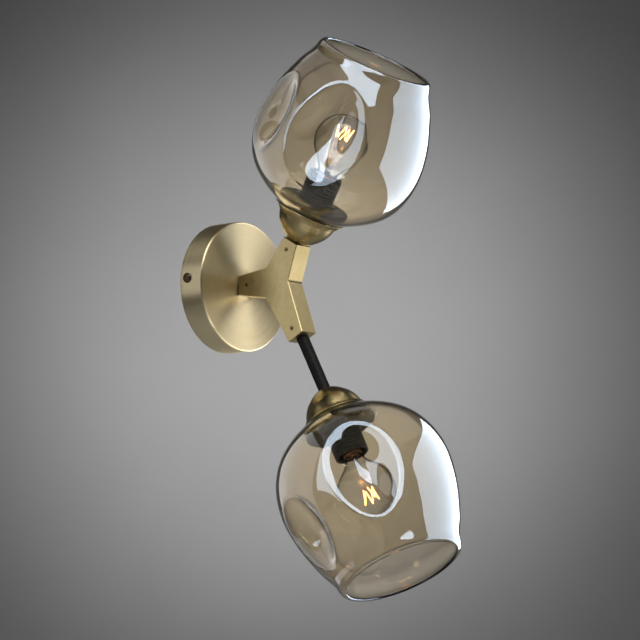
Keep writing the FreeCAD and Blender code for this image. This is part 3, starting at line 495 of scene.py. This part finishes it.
def build_head(which):
    pole = POLE[which]
    m4 = head_matrix(which)
    body = which + "_head"
    q = lambda d: pole + d
    # cup: spun bell with a step and fine beads above its flared rim
    out = curve_through([(8.0, 0.0), (10.8, 1.5), (14.9, 4.6), (19.0, 8.7), (22.3, 13.8), (23.9, 18.2)], 0.8)
    steps = [(24.25, 19.5), (24.6, 19.75), (25.1, 19.95), (25.3, 20.2), (25.4, 20.8), (25.75, 21.0), (26.2, 21.2)]
    flare = curve_through([(26.2, 21.2), (27.0, 22.5), (28.4, 23.9), (29.8, 24.5)], 0.45)[1:]
    lip = [(29.95, 24.62), (30.0, 24.85), (29.9, 25.08), (29.6, 25.2), (29.15, 25.1)]
    inn = curve_through([(29.1, 25.05), (27.4, 23.6), (25.2, 21.8), (24.2, 21.0), (22.6, 18.4), (21.0, 14.2), (17.8, 9.5), (13.9, 5.5), (9.9, 2.6), (7.6, 1.2)], 0.9)
    prof = [(5.03, 0.0), (6.2, 0.0), (7.4, 0.0)] + out + steps + flare + lip + inn[1:] + [(5.03, 1.2)]
    prof = [(r, z * CUP_K) for r, z in prof[:-1]] + [(5.03, 1.2)]
    add(lathe(which + "_bell", [(r, q(z)) for r, z in prof], m4, seg=192, sharp=28), body, cup_brass, "antique_brass", which + "_cup")
    # lamp holder
    zf, zm = q(SEAT), q(60.0)
    th = ridge_run(14.3, 13.75, zf + 0.4, zm - 1.6, 2.0)
    hold = [(5.03, q(4.6)), (11.0, q(4.6)), (13.2, q(8.0)), (13.6, zf - 4.4), (14.6, zf - 3.9), (14.6, zf - 3.05), (13.75, zf - 3.05), (13.75, zf + 0.2)] + th + \
        [(13.6, zm - 1.4), (14.25, zm - 1.15), (14.3, zm - 0.5), (14.15, zm - 0.12), (13.8, zm), (13.0, zm), (12.75, zm - 0.15), (12.6, zm - 0.6),
         (12.6, q(12.0)), (5.03, q(12.0))]
    add(lathe(which + "_holder", hold, m4, seg=128, sharp=32), body, phenolic, "black_phenolic", which + "_lampholder")
    if which + "_shade_seat" in NODES:
        add(lathe(which + "_seat_plate", rounded([(13.8, zf - 3.0), (20.0, zf - 3.0), (20.0, zf - 1.05), (13.8, zf - 1.05)], 0.3), m4, seg=96),
            body, phenolic, "black_phenolic", which + "_shade_seat")
    # shade ring
    zr = zf + WALL + 0.88
    ring = [(14.36, zr), (24.5, zr)] + curve_through([(24.5, zr), (27.4, zr + 0.9), (29.4, zr + 2.4), (30.0, zr + 3.8), (29.65, zr + 5.0), (28.4, zr + 5.9), (26.6, zr + 6.1)], 0.5)[1:] + \
        curve_through([(26.6, zr + 6.1), (22.0, zr + 5.2), (18.6, zr + 5.0)], 0.8)[1:] + [(18.2, zr + 5.1), (18.0, zr + 5.4), (17.7, zr + 7.7), (17.5, zr + 8.1), (17.1, zr + 8.2), (14.7, zr + 8.2), (14.36, zr + 7.9)]
    ring_ob = lathe(which + "_clamp_ring", ring, m4, seg=160, sharp=32)
    add(ring_ob, which + "_ring", gloss_black, "gloss_black", which + "_shade_ring")
    # glass
    GLASSY.append(add(shade(which), body, amber, "amber_glass", which + "_glass_shade"))
    # lamp envelope
    gz, Rg, t = q(90.2), 22.5, 0.8
    arc = lambda rad, a0, a1, n: [(rad * math.sin(math.radians(a0 + (a1 - a0) * i / n)), gz + rad * math.cos(math.radians(a0 + (a1 - a0) * i / n))) for i in range(n + 1)]
    so = arc(Rg, 0.0, 138.0, 60)
    no = curve_through([so[-1], (11.2, q(68.6)), (8.6, q(64.0)), (7.55, q(60.0)), (7.45, q(56.0))], 0.7)
    si = arc(Rg - t, 0.0, 138.0, 60)
    ni = curve_through([si[-1], (11.2 - t, q(68.9)), (8.6 - t, q(64.2)), (7.55 - t, q(60.0)), (7.45 - t, q(56.0))], 0.7)
    so[0], si[0] = (0.0, so[0][1]), (0.0, si[0][1])
    add(lathe(which + "_envelope", so + no[1:] + ni[::-1] + si[::-1][1:], m4, closed=False, seg=128, sharp=60), which + "_bulb", bulb_clear, "clear_glass", which + "_bulb_glass")
    stem = curve_through([(5.8, q(56.2)), (5.2, q(58.4)), (2.6, q(62.0)), (2.1, q(70.0)), (2.3, q(77.0)), (1.9, q(82.0)), (0.9, q(83.1)), (0.0, q(83.2))], 0.6)
    add(lathe(which + "_mount_stem", [(0.0, q(56.2))] + [(max(0.0, r) if i < len(stem) - 1 else 0.0, z) for i, (r, z) in enumerate(stem)], m4, closed=False, seg=48, sharp=60),
        which + "_bulb", bulb_clear, "clear_glass", which + "_bulb_stem")
    # cap with its rolled thread
    n_t = 5
    thread = []
    for i in range(n_t):
        a = q(39.2) + i * 2.8
        for u in range(12):
            v = 0.5 - 0.5 * math.cos(2 * math.pi * u / 12)
            thread.append((6.35 + 0.62 * v, a + 2.8 * u / 12))
    capp = [(0.0, q(36.23)), (3.4, q(36.23)), (5.2, q(38.2)), (6.2, q(38.7))] + thread + \
        [(6.4, q(53.4)), (7.2, q(53.7)), (8.0, q(54.2)), (8.3, q(55.0)), (8.3, q(60.1)), (8.15, q(60.4)), (7.85, q(60.4)), (7.7, q(60.1)), (7.7, q(55.2)), (5.6, q(54.0)), (5.6, q(39.6)), (0.0, q(39.6))]
    add(lathe(which + "_cap", capp, m4, closed=False, seg=96, sharp=40), which + "_bulb", cap_brass, "lamp_cap", which + "_bulb_cap")
    # glowing wire: a fine coil that runs up and down between hooks
    n = 8
    pts = []
    for i in range(n + 1):
        a = math.radians(-150 + 300.0 * i / n)
        zz, rad = (q(92.0), 4.6) if i % 2 == 0 else (q(102.5), 6.2)
        pts.append(Vector((rad * math.cos(a), rad * math.sin(a), zz)))
    coil = []
    turn = 0.0
    for a, b in zip(pts[:-1], pts[1:]):
        d = (b - a)
        L = d.length
        d.normalize()
        e1 = d.cross(Vector((0.3, 0.2, 1))).normalized()
        e2 = d.cross(e1)
        steps_n = int(L / 0.085)
        for s in range(steps_n):
            turn += 2 * math.pi / 8.0
            coil.append(a + d * (L * s / steps_n) + (e1 * math.cos(turn) + e2 * math.sin(turn)) * 0.30)
    coil.append(pts[-1])

    def tube(name, paths, rad, mat, slot, *rep):
        cu = bpy.data.curves.new(name, "CURVE")
        cu.dimensions = "3D"
        cu.bevel_depth = rad * MM
        cu.bevel_resolution = 2
        for path in paths:
            sp = cu.splines.new("POLY")
            sp.points.add(len(path) - 1)
            for pnt, v in zip(sp.points, path):
                w = m4 @ v
                pnt.co = (w.x, w.y, w.z, 1.0)
        tmp = bpy.data.objects.new(name + "_path", cu)
        bpy.context.scene.collection.objects.link(tmp)
        bpy.context.view_layer.update()
        me = bpy.data.meshes.new_from_object(tmp)
        bpy.data.objects.remove(tmp)
        me.name = name
        ob = bpy.data.objects.new(name, me)
        bpy.context.scene.collection.objects.link(ob)
        for p in me.polygons:
            p.use_smooth = True
        return add(ob, which + "_bulb", mat, slot, *rep)
    tube(which + "_coil", [coil], 0.13, glow, "filament_wire", which + "_bulb_filament")
    wires = []
    for e in (0, n):
        a = math.radians(-150 + 300.0 * e / n)
        wires.append([Vector((1.6 * math.cos(a), 1.6 * math.sin(a), q(80.0))), Vector((3.4 * math.cos(a), 3.4 * math.sin(a), q(85.0))), pts[e]])
    for e in range(1, n):
        a = math.radians(-150 + 300.0 * e / n)
        wires.append([Vector((0.6 * math.cos(a), 0.6 * math.sin(a), q(82.0))), Vector((2.6 * math.cos(a), 2.6 * math.sin(a), q(86.5))), pts[e]])
    tube(which + "_hooks", wires, 0.11, zinc, "zinc_steel")


build_head("upper")
build_head("lower")

# ------------------------------------------------------------------ CAD pieces kept, with their finishes
KEEP = {"y_connector": y_brass, "arm_grub_screws": screw_brass, "mounting_bar": zinc, "stub_washer": zinc, "stub_nut": zinc,
        "terminal_block": white_plastic, "terminal_screws": zinc, "earth_screw": plain_brass, "upper_stem": rod_black}
for w in ("upper", "lower"):
    KEEP.update({w + "_cup_nut": zinc, w + "_holder_insert": insert_m, w + "_screw_shell": plain_brass, w + "_centre_contact": plain_brass,
                 w + "_shade_gasket": rubber, w + "_slip_washer": nylon, w + "_bulb_tip": solder_m})
for name, mat in KEEP.items():
    if name not in NODES:
        continue
    ob = NODES[name]
    if not ob.material_slots:
        ob.data.materials.append(mat)
    for s in ob.material_slots:
        s.material = mat

# ------------------------------------------------------------------ stage
def stage_material():
    t = Tree("stage_paint")
    n = t.noise(t.coord(), 3.0, 4.0, 0.5)
    t.link(t.ramp(n, [(0.3, (0.56, 0.56, 0.56)), (0.7, (0.60, 0.60, 0.60))]), t.bsdf.inputs["Base Color"])
    t.set(Roughness=0.8)
    return t.mat


def sweep():
    """Pale floor that turns up into a plain round backdrop; the lamp hangs nearer its back."""
    fwd = Vector((0.766, 0.643, 0)).normalized()
    c0 = fwd * -1.6
    prof = [(0.0, -1.10), (1.2, -1.10), (2.2, -1.10), (3.2, -1.10)]
    for i in range(1, 25):
        a = math.radians(90 * i / 24)
        prof.append((3.2 + 1.2 * math.sin(a), -1.10 + 1.2 * (1 - math.cos(a))))
    prof += [(4.4, 1.5), (4.4, 5.0)]
    seg = 192
    verts, faces = [(c0.x, c0.y, -1.10)], []
    for r, z in prof[1:]:
        for k in range(seg):
            a = 2 * math.pi * k / seg
            verts.append((c0.x + r * math.cos(a), c0.y + r * math.sin(a), z))
    for k in range(seg):
        faces.append((0, 1 + k, 1 + (k + 1) % seg))
    for i in range(len(prof) - 2):
        for k in range(seg):
            a, b = 1 + i * seg, 1 + (i + 1) * seg
            faces.append((a + k, b + k, b + (k + 1) % seg, a + (k + 1) % seg))
    me = bpy.data.meshes.new("stage_sweep")
    me.from_pydata(verts, [], faces)
    for p in me.polygons:
        p.use_smooth = True
    ob = bpy.data.objects.new("stage_sweep", me)
    ob.data.materials.append(stage_material())
    bpy.context.scene.collection.objects.link(ob)


sweep()


def area(name, loc, target, w, h, power, colour=(1, 1, 1)):
    loc, target = Vector(loc), Vector(target)
    li = bpy.data.lights.new(name, "AREA")
    li.shape = "RECTANGLE"
    li.size, li.size_y = w, h
    li.energy = power
    li.color = colour
    ob = bpy.data.objects.new(name, li)
    ob.location = loc
    d = Vector(target) - Vector(loc)
    ob.rotation_euler = d.to_track_quat("-Z", "Y").to_euler()
    ob.visible_camera = False
    bpy.context.scene.collection.objects.link(ob)
    return ob


def only_on(light, name, objects):
    group = bpy.data.collections.new(name)
    for o in objects:
        group.objects.link(o)
    light.light_linking.receiver_collection = group


def toward(az, el):
    a, e = math.radians(az), math.radians(el)
    return Vector((math.cos(e) * math.cos(a), math.cos(e) * math.sin(a), math.sin(e)))


C = Vector((0, -0.11, -0.03))
stage_ob = bpy.data.objects["stage_sweep"]
COVER = [bpy.data.objects["wall_cover"]]
METAL = [o for o in bpy.context.scene.objects if o.type == "MESH" and o is not stage_ob and o not in GLASSY + COVER]
# softboxes for the glass, flagged off the metal and the backdrop
COOL = (0.72, 0.85, 1.0)


def box(name, az, el, dist, w, h, radiance, on, colour=(1, 1, 1), through=True):
    """Area light aimed at the lamp, its power set from how bright its face is to be."""
    ob = area(name, C + toward(az, el) * dist, C, w, h, radiance * 4.0 * w * h, colour)
    ob.visible_transmission = through
    only_on(ob, name + "_on", on)


def wash(name, loc, aim, power, spread):
    """Soft round glow on the stage alone."""
    sp = bpy.data.lights.new(name, "SPOT")
    sp.energy = power
    sp.spot_size = math.radians(spread)
    sp.spot_blend = 1.0
    sp.shadow_soft_size = 0.3
    ob = bpy.data.objects.new(name, sp)
    ob.location = loc
    ob.rotation_euler = Vector(aim).to_track_quat("-Z", "Y").to_euler()
    bpy.context.scene.collection.objects.link(ob)
    only_on(ob, name + "_on", [stage_ob])


box("softbox_right", -33, 0, 1.35, 2.75, 2.05, 7.6, GLASSY, COOL, False)
box("softbox_top", -142, 29, 1.9, 2.6, 1.15, 12.5, GLASSY, COOL, False)
box("softbox_left", 172, 12, 1.9, 1.15, 1.35, 6.5, GLASSY, COOL, False)
box("softbox_rear", 112, 4, 1.7, 2.6, 2.6, 1.4, GLASSY, (1, 1, 1), False)
box("softbox_ceiling", -60, 88, 1.5, 3.0, 3.0, 0.34, GLASSY)
# key and fills for the metalwork
WARM = (1.0, 0.98, 0.95)
box("cover_low", -38, -25, 1.2, 2.9, 0.5, 3.9, COVER, WARM)
box("cover_high", -30, 36, 1.3, 2.0, 0.5, 2.4, COVER, WARM)
box("key_low", -38, -25, 1.2, 1.7, 0.55, 1.75, METAL, WARM)
box("key_high", -22, 36, 1.3, 1.2, 0.5, 0.62, METAL, WARM)
box("overhead", -125, 50, 1.4, 1.3, 0.9, 4.0, METAL + COVER, WARM)
box("fill_rear", 152, 10, 1.6, 1.2, 1.2, 0.7, METAL + COVER)
box("fill_front", -142, 16, 1.8, 1.6, 0.8, 0.45, METAL)
box("fill_low", -142, -52, 1.0, 1.3, 0.8, 0.25, METAL)

FWD = Vector((0.766, 0.643, 0))
wash("backdrop_wash", FWD * 0.55 + Vector((0, 0, -0.02)), (0.771, 0.626, 0.135), 122.0, 36.5)
for k, az in enumerate((90, 135, 180, -135, -90, -45, 0)):
    d = toward(az, 0)
    b = d.dot(FWD * 1.6)
    wall = -b + math.sqrt(b * b + 4.4 ** 2 - 1.6 ** 2)
    wash("wall_wash_%d" % k, d * (wall - 2.25) + Vector((0, 0, -0.35)), d, 80.0, 42)
floor_li = area("floor_wash", FWD * -0.5 + Vector((0, 0, 2.6)), FWD * -0.5 + Vector((0, 0, -1.1)), 2.4, 2.4, 30.0)
floor_li.data.spread = math.radians(100)
only_on(floor_li, "floor_on", [stage_ob])

world = bpy.data.worlds.new("studio")
world.use_nodes = True
bg = world.node_tree.nodes["Background"]
bg.inputs[0].default_value = (0.86, 0.86, 0.88, 1.0)
bg.inputs[1].default_value = 0.015
bpy.context.scene.world = world
bpy.context.scene.view_settings.view_transform = "Standard"

# ------------------------------------------------------------------ camera
cam_data = bpy.data.cameras.new("camera")
cam = bpy.data.objects.new("camera", cam_data)
right = Vector((0.6426, -0.7661, 0.0053)).normalized()
fwd = Vector((0.7602, 0.6385, 0.1196)).normalized()
up = right.cross(fwd).normalized()
right = fwd.cross(up).normalized()
m = Matrix((right, up, -fwd)).transposed().to_4x4()
m.translation = Vector((-1.71462, -1.54443, -0.30338))
cam.matrix_world = m
cam_data.sensor_width = 36.0
cam_data.lens = 2790.722 / 640.0 * 36.0
cam_data.clip_start = 0.05
cam_data.clip_end = 60.0
bpy.context.scene.collection.objects.link(cam)
bpy.context.scene.camera = cam

bpy.context.view_layer.update()
